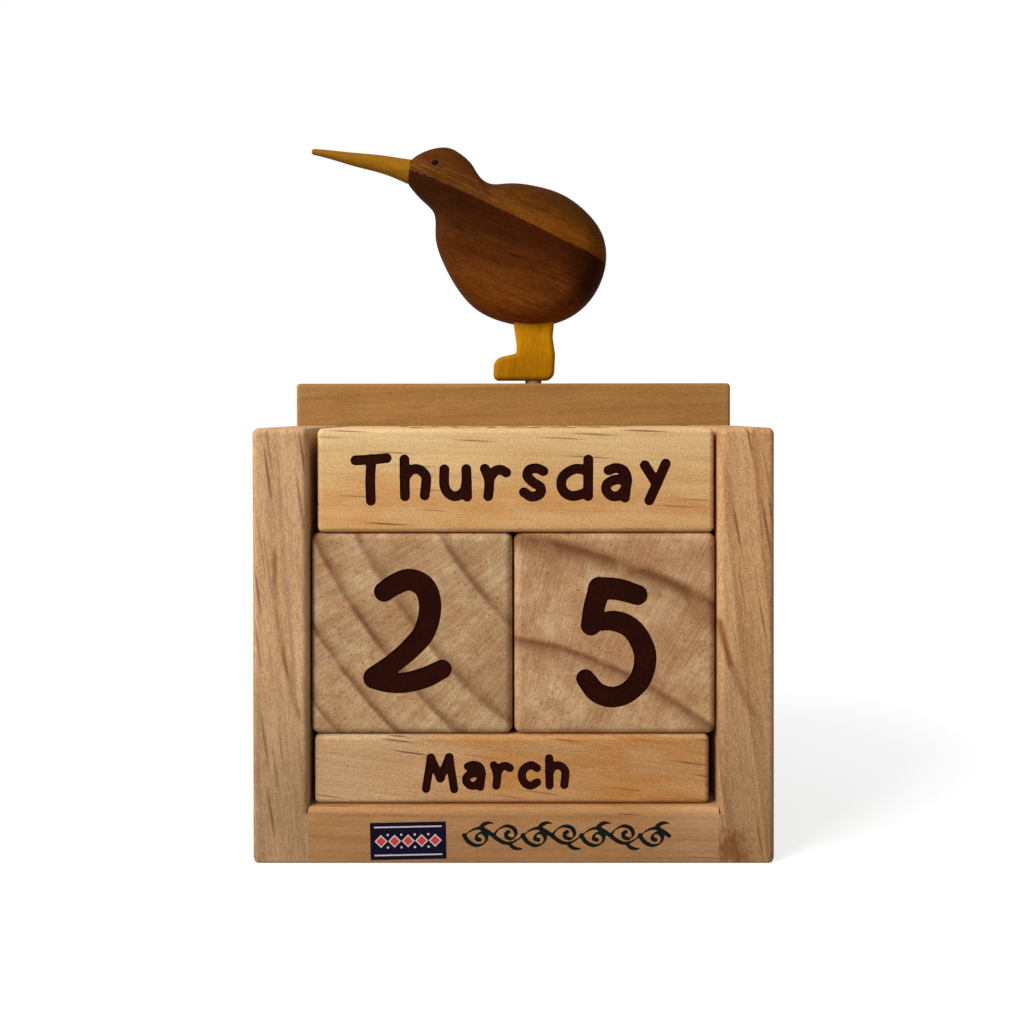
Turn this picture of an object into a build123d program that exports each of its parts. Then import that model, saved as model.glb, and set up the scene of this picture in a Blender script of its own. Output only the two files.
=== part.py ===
from build123d import *
import math
import os

# A wooden perpetual desk calendar: an open tray of pine boards that holds a row of month bars,
# two number cubes and a row of day bars, with a wooden kiwi that turns on a peg in the back board.
# Millimetres. X is to the right, Y to the back, Z up; the origin is the middle of the case's
# underside.

# ---- Driving dimensions ----
# Loose blocks
cube_size = 40.5
cube_edge_round = 1.6
day_bar_section = 20.9
day_bar_edge_round = 1.1
month_bar_section = 13.9
month_bar_edge_round = 1.1
day_bars_deep = 2
month_bars_deep = 3

# Room round the blocks
cube_side_play = 0.3
day_bar_left_play = 1.6
day_bar_right_play = 0.6
month_bar_left_play = 0.9
month_bar_right_play = 1.6
row_gap = 0.1
block_setback = 1.6
tray_back_play = 0.5
tray_rim = 0.1

# Case boards
side_thickness = 11.2
base_thickness = 11.2
back_thickness = 11.2
back_rise = 10.1
outer_edge_round = 1.3
under_edge_round = 0.5
back_edge_round = 0.9

# Case dowels
dowel_diameter = 6.0
dowel_length = 20.0
dowel_seat_depth = 7.5
dowel_glue_gap = 0.05
dowel_end_play = 0.5
base_dowel_spacing = 24.0
back_dowel_spacing = 40.0
low_back_dowel_height = 22.0
high_back_dowel_drop = 21.0

# Printed transfer on the front of the base
transfer_width = 15.5
transfer_height = 7.8
transfer_film = 0.1
transfer_from_left_side = 12.2
transfer_from_underside = 0.7

# Kiwi and its peg
peg_diameter = 4.0
peg_fit = 0.05
peg_hole_depth = 12.0
peg_stand_gap = 0.1
peg_in_body = 9.0
peg_offset = 4.9
foot_gap = 0.8
kiwi_thickness = 16.0
leg_thickness = 6.0
leg_edge_round = 1.2
leg_height = 13.6
leg_scribe = 2.5
beak_thickness_ratio = 0.95
beak_tip_round = 0.55
beak_pin_diameter = 3.0
beak_pin_length = 12.0
eye_diameter = 1.5
eye_depth = 3.0
eye_dome = 0.3

# Kiwi outlines: across and up from the middle of the peg at the underside of the foot. The body's
# outline goes on from one stretch to the next, and each stretch rounds over towards its own heart
# point, by a share of the way there.
head_heart = (-12.0, 42.0)
neck_heart = (-9.0, 38.0)
body_heart = (-3.0, 31.0)
head_outline = [
    (-30.4, 47.8), (-31.3, 50.9), (-29.8, 54.0), (-27.0, 55.8), (-22.6, 57.0), (-18.2, 55.8),
]
nape_outline = [(-15.2, 53.0), (-13.2, 49.9)]
shoulder_outline = [(-11.0, 48.2), (-6.6, 48.1)]
belly_outline = [
    (0.2, 47.5), (7.0, 45.4), (13.0, 41.1), (16.9, 35.7), (17.9, 29.8), (16.6, 24.1),
    (12.9, 18.4), (7.4, 14.7), (0.0, 13.3), (-7.4, 14.4), (-13.6, 17.2), (-18.5, 22.4),
    (-22.1, 29.0), (-23.9, 35.3),
]
throat_outline = [(-24.4, 41.2)]
chin_outline = [(-27.5, 44.5)]
head_round_ratio = 0.85
nape_round_ratio = 0.6
shoulder_round_ratio = 0.35
belly_round_ratio = 0.31
throat_round_ratio = 0.45
chin_round_ratio = 0.65
round_steps = (0.0, 25.0, 45.0, 62.0, 75.0, 85.0, 90.0)
leg_outline = [
    ((-5.1, leg_height + leg_scribe), 0), ((-4.1, 9.0), 3.0), ((-4.1, 6.6), 0.8), ((-9.6, 5.3), 2.6),
    ((-9.8, 0.0), 1.3), ((5.0, 0.0), 2.2), ((5.3, 6.3), 3.0), ((4.7, 10.6), 3.0),
    ((5.3, leg_height + leg_scribe), 0),
]
beak_seam_foot = (-30.4, 47.8)
beak_seam_lean = 5.5
beak_sections = [
    ((-28.5, 51.0), 6.4), ((-30.1, 51.2), 6.0), ((-35.9, 52.8), 4.5), ((-41.1, 53.8), 3.7),
    ((-46.5, 54.8), 2.7), ((-51.6, 55.8), 1.8), ((-54.2, 56.2), 1.3),
]
eye_place = (-23.6, 52.2)

# ---- Places worked out from them ----
tray_width = 2 * cube_size + 3 * cube_side_play
case_width = tray_width + 2 * side_thickness
month_row_depth = month_bars_deep * month_bar_section + (month_bars_deep - 1) * row_gap
day_row_depth = day_bars_deep * day_bar_section + (day_bars_deep - 1) * row_gap
tray_depth = block_setback + max(month_row_depth, cube_size, day_row_depth) + tray_back_play
case_depth = tray_depth + back_thickness
month_row_floor = base_thickness + row_gap
cube_row_floor = month_row_floor + month_bar_section + row_gap
day_row_floor = cube_row_floor + cube_size + row_gap
side_height = day_row_floor + day_bar_section + tray_rim
back_height = side_height + back_rise

case_right = case_width / 2
tray_right = tray_width / 2
case_front = -case_depth / 2
tray_back = case_front + tray_depth
case_back = case_depth / 2
block_front = case_front + block_setback
tray_middle = (case_front + tray_back) / 2
back_board_middle = (tray_back + case_back) / 2
foot_level = back_height + foot_gap
peg_foot = -foot_gap - peg_hole_depth + peg_stand_gap
peg_top = leg_height + peg_in_body

kiwi_stretches = [
    (head_heart, head_round_ratio, head_outline),
    (neck_heart, nape_round_ratio, nape_outline),
    (body_heart, shoulder_round_ratio, shoulder_outline),
    (body_heart, belly_round_ratio, belly_outline),
    (neck_heart, throat_round_ratio, throat_outline),
    (head_heart, chin_round_ratio, chin_outline),
]


def box_between(low, high):
    """A box from its lowest to its highest corner."""
    size = [top - bottom for bottom, top in zip(low, high)]
    return Pos(*low) * Box(*size, align=(Align.MIN, Align.MIN, Align.MIN))


def box_across(inner, outer, front, back, top):
    """A box that stands on the ground between two places across the case, in either order."""
    left, right = sorted((inner, outer))
    return box_between((left, front, 0), (right, back, top))


def rod(start, end, radius):
    """A round rod between two points."""
    direction = Vector(*end) - Vector(*start)
    return Solid.make_cylinder(radius, direction.length, Plane(origin=start, z_dir=direction))


def edges_at(solid, axis, place):
    """The edges that lie in the plane at one place along an axis."""
    return solid.edges().filter_by_position(axis, place - 0.001, place + 0.001)


# ---- Dowels of the case ----
def dowel_and_hole(face_point, into_seat):
    """A case dowel and its hole: face_point is on the joint, into_seat points into the board
    that takes the short end."""
    point = Vector(*face_point)
    along = Vector(*into_seat)
    seat_end = point + along * dowel_seat_depth
    long_end = seat_end - along * dowel_length
    dowel = rod(seat_end, long_end, dowel_diameter / 2)
    hole = rod(
        seat_end + along * dowel_end_play,
        long_end - along * dowel_end_play,
        dowel_diameter / 2 + dowel_glue_gap,
    )
    return dowel, hole


def base_dowels():
    """Dowels that run across the case, from each side into the ends of the base."""
    return [
        dowel_and_hole(
            (side * tray_right, tray_middle + row * base_dowel_spacing / 2, base_thickness / 2),
            (side, 0, 0),
        )
        for side in (-1, 1)
        for row in (-1, 1)
    ]


def back_dowels():
    """Dowels that run from the back board into the rear edges of the sides and the base."""
    side_middle = (case_right + tray_right) / 2
    heights = (low_back_dowel_height, side_height - high_back_dowel_drop)
    side_places = [(side * side_middle, height) for side in (-1, 1) for height in heights]
    base_places = [(side * back_dowel_spacing / 2, base_thickness / 2) for side in (-1, 1)]
    return [dowel_and_hole((x, tray_back, z), (0, 1, 0)) for x, z in side_places + base_places]


def with_dowel_holes(board):
    """A case board with the holes of every dowel that enters it."""
    for _, hole in base_dowels() + back_dowels():
        board -= hole
    return board


# ---- Case boards ----
def side_board(side):
    """A side board; side is -1 on the left and 1 on the right. All its free edges are rounded
    over, but its inner front edge is square where the base butts against it."""
    inner = side * tray_right
    outer = side * case_right
    board = box_across(inner, outer, case_front, tray_back, side_height)
    inside_edges = edges_at(board, Axis.X, inner)
    free_edges = (
        edges_at(board, Axis.X, outer)
        + edges_at(inside_edges, Axis.Y, case_front)
        + edges_at(inside_edges, Axis.Z, side_height)
        + edges_at(edges_at(board, Axis.Y, case_front), Axis.Z, side_height)
    )
    board = fillet(free_edges, outer_edge_round)
    board += box_across(
        inner, inner + side * outer_edge_round, case_front, case_front + outer_edge_round,
        base_thickness - outer_edge_round,
    )
    under_edge = edges_at(edges_at(board, Axis.Y, case_front), Axis.Z, 0)
    return with_dowel_holes(fillet(under_edge, under_edge_round))


def base_board():
    """The base, between the sides, with its front edges rounded over."""
    board = box_across(-tray_right, tray_right, case_front, tray_back, base_thickness)
    front_edges = edges_at(board, Axis.Y, case_front)
    board = fillet(edges_at(front_edges, Axis.Z, base_thickness), outer_edge_round)
    under_edge = edges_at(edges_at(board, Axis.Y, case_front), Axis.Z, 0)
    return with_dowel_holes(fillet(under_edge, under_edge_round))


def back_board():
    """The full-width back board, with the peg hole in its top edge."""
    board = box_across(-case_right, case_right, tray_back, case_back, back_height)
    board = fillet(board.edges(), back_edge_round)
    peg_hole = rod(
        (peg_offset, back_board_middle, back_height - peg_hole_depth),
        (peg_offset, back_board_middle, back_height + back_rise),
        peg_diameter / 2 + peg_fit,
    )
    return with_dowel_holes(board) - peg_hole


def front_transfer():
    """The thin printed film on the front of the base."""
    left = -tray_right + transfer_from_left_side
    return box_between(
        (left, case_front - transfer_film, transfer_from_underside),
        (left + transfer_width, case_front, transfer_from_underside + transfer_height),
    )


# ---- Loose blocks ----
def block(low, size, edge_round):
    """A loose block from its lowest corner, with every edge rounded."""
    high = [place + length for place, length in zip(low, size)]
    solid = box_between(low, high)
    return fillet(solid.edges(), edge_round)


def number_cube(side):
    """A number cube; side is -1 on the left and 1 on the right."""
    left = -cube_size - cube_side_play / 2 if side < 0 else cube_side_play / 2
    return block((left, block_front, cube_row_floor), [cube_size] * 3, cube_edge_round)


def day_bar(row):
    """A day bar; row 0 is at the front."""
    length = tray_width - day_bar_left_play - day_bar_right_play
    front = block_front + row * (day_bar_section + row_gap)
    return block(
        (-tray_right + day_bar_left_play, front, day_row_floor),
        [length, day_bar_section, day_bar_section],
        day_bar_edge_round,
    )


def month_bar(row):
    """A month bar; row 0 is at the front."""
    length = tray_width - month_bar_left_play - month_bar_right_play
    front = block_front + row * (month_bar_section + row_gap)
    return block(
        (-tray_right + month_bar_left_play, front, month_row_floor),
        [length, month_bar_section, month_bar_section],
        month_bar_edge_round,
    )


# ---- Kiwi, made round its peg with the underside of the foot at zero ----
def upright_plate(face, thickness):
    """A plate cut to a flat outline and stood upright, its middle on the peg."""
    return extrude(Plane.XZ * face, amount=thickness / 2, both=True)


def beak_axis():
    """The direction in which the beak leaves the head."""
    (root_x, root_z), _ = beak_sections[0]
    (tip_x, tip_z), _ = beak_sections[-1]
    return Vector(tip_x - root_x, 0, tip_z - root_z).normalized()


def beak_side_of_seam():
    """All the room on the beak's side of the leaning seam between beak and head."""
    lean = math.radians(beak_seam_lean)
    seam = Plane(
        origin=(beak_seam_foot[0], 0, beak_seam_foot[1]),
        z_dir=(-math.cos(lean), 0, math.sin(lean)),
    )
    room = 4 * kiwi_thickness
    return seam * Box(room, room, room, align=(Align.CENTER, Align.CENTER, Align.MIN))


def beak_pin(play=0.0):
    """The hidden pin that runs from the head into the beak."""
    (seam_x, seam_z), _ = beak_sections[1]
    middle = Vector(seam_x, 0, seam_z)
    reach = beak_axis() * (beak_pin_length / 2 + play)
    return rod(middle - reach, middle + reach, beak_pin_diameter / 2 + play)


def peg(play=0.0):
    """The peg that carries the kiwi: its foot stands on the bottom of the hole in the back
    board."""
    return rod((0, 0, peg_foot), (0, 0, peg_top + play), peg_diameter / 2 + play)


def body_slice(rounding):
    """The body's outline drawn in by one step of its rounding, from 0 degrees in the middle of
    the board to 90 degrees at its face, and how far from the middle that step lies."""
    drawn_in = 1 - math.cos(math.radians(rounding))
    points = [
        (x + (heart_x - x) * share * drawn_in, z + (heart_z - z) * share * drawn_in)
        for (heart_x, heart_z), share, stretch in kiwi_stretches
        for x, z in stretch
    ]
    away = math.sin(math.radians(rounding)) * kiwi_thickness / 2
    return make_face(Spline(*points, periodic=True)), away


def kiwi_shape():
    """Head and body in one carved board, cut flat where the beak and the legs are glued."""
    near_slices = []
    far_slices = []
    for rounding in round_steps:
        outline, away = body_slice(rounding)
        near_slices.insert(0, Plane.XZ.offset(away) * outline)
        far_slices.append(Plane.XZ.offset(-away) * outline)
    shape = loft(near_slices + far_slices[1:]) - beak_side_of_seam()
    room = 4 * kiwi_thickness
    under_seat = Box(room, room, room, align=(Align.CENTER, Align.CENTER, Align.MAX))
    return shape - Pos(0, 0, leg_height) * under_seat


def eye(side, play=0.0):
    """A small domed pin, square to the cheek that it stands in; side is -1 at the front."""
    line_of_sight = Axis((eye_place[0], 0, eye_place[1]), (0, side, 0))
    hits = kiwi_shape().find_intersection_points(line_of_sight)
    cheek, outward = max(hits, key=lambda hit: side * hit[0].Y)
    if outward.Y * side < 0:
        outward = -outward
    dome_end = cheek + outward * eye_dome
    pin = rod(cheek - outward * (eye_depth + play), dome_end, eye_diameter / 2 + play)
    if play:
        return pin
    dome_edge = pin.edges().filter_by(GeomType.CIRCLE).sort_by_distance(dome_end)[0]
    return fillet(dome_edge, eye_dome * 0.9)


def kiwi_body():
    """The carved body with the holes for its pin, peg and eyes."""
    body = kiwi_shape()
    for cutter in (beak_pin(dowel_glue_gap), peg(dowel_glue_gap)):
        body -= cutter
    for side in (-1, 1):
        body -= eye(side, dowel_glue_gap)
    return body


def kiwi_beak():
    """The long beak: ovals strung along its axis, cut off at the leaning seam."""
    across = Vector(0, 1, 0)
    ovals = [
        Plane(origin=(x, 0, z), x_dir=across, z_dir=beak_axis())
        * Ellipse(height * beak_thickness_ratio / 2, height / 2)
        for (x, z), height in beak_sections
    ]
    beak = loft(ovals)
    tip = beak.edges().sort_by(Axis.X)[0]
    beak = fillet(tip, beak_tip_round) & beak_side_of_seam()
    return beak - beak_pin(dowel_glue_gap)


def kiwi_legs():
    """Both legs and feet in one plate, scribed to the belly at the top and bored for the peg."""
    corners = [corner for corner, _ in leg_outline]
    rounds = [radius for _, radius in leg_outline]
    outline = make_face(FilletPolyline(*corners, radius=rounds, close=True))
    plate = upright_plate(outline, leg_thickness)
    flat_edges = edges_at(plate, Axis.Y, -leg_thickness / 2) + edges_at(
        plate, Axis.Y, leg_thickness / 2
    )
    top_edges = edges_at(flat_edges, Axis.Z, leg_height + leg_scribe)
    plate = fillet([edge for edge in flat_edges if edge not in top_edges], leg_edge_round)
    return plate - kiwi_shape() - peg(dowel_glue_gap)


def at_peg(solid):
    """Moves a piece of the kiwi from the peg's own origin to its place on the case."""
    return Pos(peg_offset, back_board_middle, foot_level) * solid


parts = {
    "left_side": side_board(-1),
    "right_side": side_board(1),
    "base_board": base_board(),
    "back_board": back_board(),
    "base_dowels": Compound(children=[dowel for dowel, _ in base_dowels()]),
    "back_dowels": Compound(children=[dowel for dowel, _ in back_dowels()]),
    "front_transfer": front_transfer(),
    "left_number_cube": number_cube(-1),
    "right_number_cube": number_cube(1),
    "front_day_bar": day_bar(0),
    "rear_day_bar": day_bar(1),
    "front_month_bar": month_bar(0),
    "middle_month_bar": month_bar(1),
    "rear_month_bar": month_bar(2),
    "kiwi_body": at_peg(kiwi_body()),
    "kiwi_beak": at_peg(kiwi_beak()),
    "kiwi_beak_pin": at_peg(beak_pin()),
    "kiwi_legs": at_peg(kiwi_legs()),
    "kiwi_eyes": at_peg(Compound(children=[eye(-1), eye(1)])),
    "kiwi_peg": at_peg(peg()),
}

os.makedirs("parts", exist_ok=True)
for name, solid in parts.items():
    export_step(solid, f"parts/{name}.step")
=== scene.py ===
import math

import bpy
import numpy as np
from mathutils import Euler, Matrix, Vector
from mathutils.geometry import delaunay_2d_cdt


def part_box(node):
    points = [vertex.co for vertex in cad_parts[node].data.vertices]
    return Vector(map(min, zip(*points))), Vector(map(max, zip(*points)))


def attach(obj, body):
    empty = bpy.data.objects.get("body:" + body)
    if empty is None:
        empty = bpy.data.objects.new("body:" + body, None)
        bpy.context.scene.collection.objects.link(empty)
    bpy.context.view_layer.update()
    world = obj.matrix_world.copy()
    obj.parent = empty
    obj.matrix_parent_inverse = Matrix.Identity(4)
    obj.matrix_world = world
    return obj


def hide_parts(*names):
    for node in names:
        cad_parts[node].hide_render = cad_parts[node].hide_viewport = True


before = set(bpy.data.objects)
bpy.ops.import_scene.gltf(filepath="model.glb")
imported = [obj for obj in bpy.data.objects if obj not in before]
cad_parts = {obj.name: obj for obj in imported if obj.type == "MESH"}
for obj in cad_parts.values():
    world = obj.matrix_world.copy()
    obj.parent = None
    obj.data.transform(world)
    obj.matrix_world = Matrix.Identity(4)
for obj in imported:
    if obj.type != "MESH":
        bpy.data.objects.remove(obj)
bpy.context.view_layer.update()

# The looks of a wooden perpetual desk calendar. Lengths here are millimetres in the frame's own
# axes, and become metres where an object is made. X is to the right, Y to the back, Z up.
MM = 0.001
AXES = [Vector(row) for row in np.eye(3)]
X_AXIS, Y_AXIS, Z_AXIS = AXES

# ---- Loose blocks and their burnt lettering ----
CUBE_EDGE_ROUND = 1.6
BAR_EDGE_ROUND = 1.1
ROUND_STEPS = 5
BURN_DEPTH = 0.22
OUTLINE_STEP = 0.22
OUTLINE_SLACK = 0.006
# Outlines are rounded more than corners are, so that faces on both sides of one share its corners.
OUTLINE_DECIMALS = 3
CORNER_DECIMALS = 4
SAME_POINT = 1e-6
THINNING_ROUNDS = 3
FAR_FROM_INK = 1e3
STROKE_MELT = 0.3
CURVE_PIECES = 6

WORD_ROOM = 74.0
DAY_LETTERS = {"unit": 0.55, "pen": 1.0, "gap": 1.55, "middle": -1.0, "baseline": -3.15}
MONTH_LETTERS = {"unit": 0.41, "pen": 0.83, "gap": 0.75, "middle": -3.2, "baseline": -3.2}

DAYS_ON_BARS = {
    "front_day_bar": ["Thursday", "Friday", "Saturday", "Sunday"],
    "rear_day_bar": ["Monday", "Tuesday", "Wednesday", ""],
}
MONTHS_ON_BARS = {
    "front_month_bar": ["March", "April", "January", "February"],
    "middle_month_bar": ["May", "June", "July", "August"],
    "rear_month_bar": ["September", "October", "November", "December"],
}
DIGITS_ON_CUBES = {
    "left_number_cube": ["2", "1", "0", "6", "7", "8"],
    "right_number_cube": ["5", "0", "1", "2", "3", "4"],
}

# Strokes of each letter, in tenths of the height of a small letter, from the base line up. A stroke
# of two points is straight, and one of more points flows through them.
LETTERS = {
    "a": [
        [(0.9, 9.4), (3.7, 10.2), (6.5, 9.2), (7.7, 6.2), (7.3, 3), (6.9, -0.6)],
        [(7, 5.8), (3.4, 5.9), (0.5, 4.4), (0.2, 1.9), (2.3, 0), (5, 0.3), (7, 2.4)],
    ],
    "b": [[(0.3, 13.2), (0, 0)], [(0.2, 8.2), (4, 9.9), (8, 7.4), (8.2, 3), (4.6, 0), (0.2, 1.4)]],
    "c": [[(7.4, 8.6), (4.4, 10), (0.9, 8), (0, 4.6), (1.4, 1.3), (4.4, 0), (7.5, 1.6)]],
    "d": [
        [(9.9, 13.3), (9.8, 0)],
        [(9.6, 9.3), (5.2, 9.9), (1.2, 7.7), (0, 4.6), (1.1, 1.5), (4.4, 0), (9.4, 1.3)],
    ],
    "e": [[
        (1.8, 5.1), (6, 5.4), (9.1, 6.4), (8.4, 9), (5.2, 10), (1.9, 8.8), (0, 5), (0.9, 1.8),
        (3.8, 0), (6.4, 0.5), (8.4, 2),
    ]],
    "g": [
        [(8, 10), (8.2, 0), (7.4, -3.2), (4.2, -4.2), (1, -3)],
        [(7.8, 8.9), (4.4, 9.9), (1, 8), (0, 5), (1.1, 2), (4.2, 0.8), (7.9, 2.2)],
    ],
    "h": [
        [(0.2, 13.4), (0.4, 0)], [(0.4, 7), (2.6, 9.5), (5.6, 9.7), (8, 7.3), (8, 3.8), (7.6, 0.3)],
    ],
    "i": [[(0.4, 9.6), (0, 0)], [(0.5, 13.4), (0.4, 13.2)]],
    "l": [[(0, 13.4), (0.3, 0)]],
    "m": [
        [(0, 10), (0.4, 0)],
        [(0.3, 7), (2.4, 9.6), (4.8, 9.7), (6.4, 7.2), (6.4, 0.2)],
        [(6.4, 7), (8.6, 9.6), (11, 9.6), (12.8, 7.2), (12.7, 3.6), (12.3, 0)],
    ],
    "n": [
        [(0, 10.2), (0.6, 0)], [(0.3, 7), (2.6, 9.5), (5.6, 9.7), (8, 7.3), (8, 3.8), (7.3, 0.6)],
    ],
    "o": [[
        (4.6, 10), (1.2, 8.3), (0, 5), (1, 1.6), (4.3, 0), (7.6, 1.5), (8.8, 5), (7.7, 8.5),
        (4.6, 10),
    ]],
    "p": [[(0.6, 10), (0, -4.2)], [(0.6, 9), (4, 9.9), (8, 8), (8.6, 4.8), (6.6, 1.2), (0.6, 0.6)]],
    "r": [
        [(0, 10), (1.4, 6.6), (1.6, 3.6), (1.2, 0)], [(1.6, 6.2), (3.6, 9), (5.8, 9.6), (7.8, 8.6)],
    ],
    "s": [[
        (7.1, 9.1), (4.6, 10.1), (1.9, 9.5), (1.3, 7.2), (3.4, 5), (6, 3.2), (5.8, 0.8),
        (2.8, -0.2), (0, 1.4),
    ]],
    "t": [[(3.4, 13.2), (3.1, 4), (4.2, 0.7), (6.8, 0.4)], [(0, 9.4), (6.8, 9.8)]],
    "u": [[(0, 9.8), (0, 4), (1.6, 0.9), (4.4, 0), (7.2, 1.8), (8, 4.6)], [(8, 9.9), (8.3, -0.2)]],
    "v": [[(0, 10), (3.9, 0)], [(8, 10.2), (3.9, 0)]],
    "y": [[(0, 11.2), (4.2, 4.6)], [(7.6, 11.8), (4.4, 4.6), (1.6, -1.6)]],
    "A": [[(0, -2), (6.3, 14.4)], [(6.3, 14.4), (12.8, -2.6)], [(1, 4.4), (12.4, 3)]],
    "D": [
        [(1.6, 13.4), (1, -0.6)],
        [(0, 13.2), (4.6, 13.4), (9.4, 11), (11, 6.6), (8.8, 1.4), (4.6, -0.6), (0.2, -0.8)],
    ],
    "F": [[(1.4, 13.6), (1, -1.4)], [(0, 13.2), (9.4, 13.8)], [(1.2, 6.6), (7.8, 7)]],
    "J": [[(2.4, 13.4), (10.4, 13.8)], [(6.9, 13.4), (7, 4), (5.2, -0.4), (2, -0.6), (0, 2.4)]],
    "M": [
        [(0, -1.6), (2.4, 13.6)], [(2.4, 13.6), (7, 3.6)], [(7, 3.6), (11.4, 13.8)],
        [(11.4, 13.8), (13.8, -1.8)],
    ],
    "N": [
        [(0.6, -1.4), (1, 13.4)], [(1, 13.4), (9.6, -0.8)], [(9.6, -0.8), (10, 13.8)],
        [(-0.8, 13.3), (1, 13.4)],
    ],
    "O": [[
        (6, 13.8), (1.8, 11.6), (0, 6.6), (1.6, 1.2), (6, -1.2), (10.4, 1.2), (12, 6.6),
        (10.4, 11.8), (6, 13.8),
    ]],
    "S": [[
        (9, 11.6), (6, 13.8), (2, 12.8), (0.8, 9.6), (3.4, 7.2), (7.6, 5.4), (9.4, 2.2), (7, -1),
        (3, -1.2), (0, 1.2),
    ]],
    "T": [[(0, 13.1), (5.6, 13.4), (11.4, 13.9)], [(5.8, 13.4), (5.4, 6), (5.6, -1.6)]],
    "W": [
        [(0, 13.1), (4.6, 13.1)], [(16, 13.6), (20.4, 13.6)],
        [(2.3, 13), (2.8, 5.4), (5.6, -2.2)], [(5.6, -2.2), (11.2, 10.6)],
        [(11.2, 10.6), (14.6, -2.6)], [(14.6, -2.6), (17.6, 5.6), (18.2, 13.4)],
    ],
}

# Strokes of each numeral: across and up from the middle of the face, and half the width of the
# stroke there.
DIGITS = {
    "0": [[
        (0, 10.4, 2.1), (-4.4, 7.2, 2.1), (-6, 0, 2.15), (-4.7, -7.6, 2.15), (-0.2, -11.4, 2.1),
        (4.5, -7.8, 2.1), (6, -0.4, 2.15), (4.4, 7, 2.1), (0, 10.4, 2.1),
    ]],
    "1": [
        [(-3.6, 6.4, 1.9), (-1.2, 8.6, 2.1), (0.9, 10.6, 2.1)], [(0.9, 10.6, 2.1), (0.4, -11, 2.1)],
    ],
    "2": [
        [
            (-5.5, 8.5, 2.05), (-3.2, 10, 2.15), (-0.2, 10.9, 2.2), (2.7, 9.3, 2.25),
            (3.75, 5.4, 2.25), (2.6, 0.5, 2.2), (-0.4, -3.1, 2.1), (-3.7, -5.9, 2),
            (-7.5, -8.7, 2.15),
        ],
        [
            (-7.5, -8.9, 2.15), (-4.8, -9.7, 2.05), (-1.5, -9.8, 2.05), (2.6, -8.8, 2.1),
            (6.1, -7.1, 1.95),
        ],
    ],
    "3": [
        [(-5.2, 8, 2), (-1, 10.7, 2.1), (3.4, 8.8, 2.15), (3.4, 3.6, 2.1), (-1.2, 0.8, 2)],
        [
            (-1.2, 0.8, 2), (4.4, -1.6, 2.1), (5.6, -6.8, 2.2), (1.4, -11.2, 2.15),
            (-3.4, -11, 2.1), (-6, -8.2, 2),
        ],
    ],
    "4": [
        [(1.2, 10.4, 2), (-3, 3.6, 2.05), (-6.8, -2.6, 2.1)], [(-6.8, -2.8, 2.1), (6.6, -2.2, 2)],
        [(3, 3.4, 2), (2.6, -11.4, 2.1)],
    ],
    "5": [
        [(4.5, 7.8, 2.05), (0.8, 8.9, 2.2), (-3.1, 9.2, 2.25)],
        [(-3.1, 9, 2.25), (-4.2, 5.2, 2.15), (-4.8, 1.7, 2.05)],
        [
            (-4, 2, 1.5), (-0.2, 2.6, 2.05), (3.6, 0.8, 2.15), (6, -3.8, 2.25), (5.3, -8.6, 2.2),
            (2.6, -11.7, 2.1), (-0.6, -12.7, 2.1), (-3.7, -11.7, 2.05), (-5.9, -9, 1.9),
        ],
    ],
    "6": [[
        (4.2, 9.6, 2), (-0.6, 6.8, 2.1), (-4.4, 1, 2.15), (-5.4, -5.4, 2.15), (-2.6, -10.6, 2.15),
        (2.4, -11.2, 2.1), (5.5, -7.2, 2.15), (4.2, -2.6, 2.1), (0, -1, 2), (-4.4, -3.6, 1.9),
    ]],
    "7": [[(-6, 8.8, 2), (5.6, 10, 2.15)], [(5.6, 10, 2.15), (1.6, 1.2, 2.1), (-0.8, -11, 2.1)]],
    "8": [
        [
            (0.2, 10.6, 2.1), (-4.2, 8.4, 2.1), (-4, 3.2, 2.1), (0, 0, 2), (4.4, 3.2, 2.1),
            (4.4, 8.4, 2.1), (0.2, 10.6, 2.1),
        ],
        [
            (0, 0, 2), (-5.4, -3.4, 2.1), (-5.2, -9.2, 2.15), (0, -11.9, 2.1), (5.4, -9.2, 2.15),
            (5.4, -3.4, 2.1), (0, 0, 2),
        ],
    ],
}


# ---- Flat shapes drawn with a round pen ----
def flowing(points):
    """A smooth line through the points, or the straight line between two. Where the last point is
    the first one again, the line closes smoothly."""
    rows = np.array(points, float)
    if len(rows) == 2:
        return rows
    closed = np.allclose(rows[0], rows[-1])
    before = rows[-2] if closed else 2 * rows[0] - rows[1]
    after = rows[1] if closed else 2 * rows[-1] - rows[-2]
    knots = np.vstack([before, rows, after])
    shares = np.linspace(0, 1, CURVE_PIECES, endpoint=False)[:, None]
    line = []
    for a, b, c, d in zip(knots, knots[1:], knots[2:], knots[3:]):
        line.append(
            b + 0.5 * shares * (c - a)
            + shares**2 * (a - 2.5 * b + 2 * c - 0.5 * d)
            + shares**3 * (1.5 * (b - c) + 0.5 * (d - a))
        )
    return np.vstack(line + [rows[-1:]])


def ink_field(strokes):
    """A function of places across and up that is negative inside the drawn strokes. Each stroke is
    rows of across, up and half width, and where strokes meet they melt into each other a little."""
    def field(across, up):
        nearest = np.full(np.shape(across), FAR_FROM_INK)
        for stroke in strokes:
            along = np.full(np.shape(across), FAR_FROM_INK)
            for (ax, ay, ar), (bx, by, br) in zip(stroke, stroke[1:]):
                dx, dy = bx - ax, by - ay
                reach = max(dx * dx + dy * dy, SAME_POINT)
                share = np.clip(((across - ax) * dx + (up - ay) * dy) / reach, 0, 1)
                off = np.hypot(across - ax - share * dx, up - ay - share * dy)
                along = np.minimum(along, off - ar - share * (br - ar))
            melt = np.maximum(STROKE_MELT - np.abs(nearest - along), 0) / STROKE_MELT
            nearest = np.minimum(nearest, along) - melt**2 * STROKE_MELT / 4
        return nearest
    return field


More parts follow.
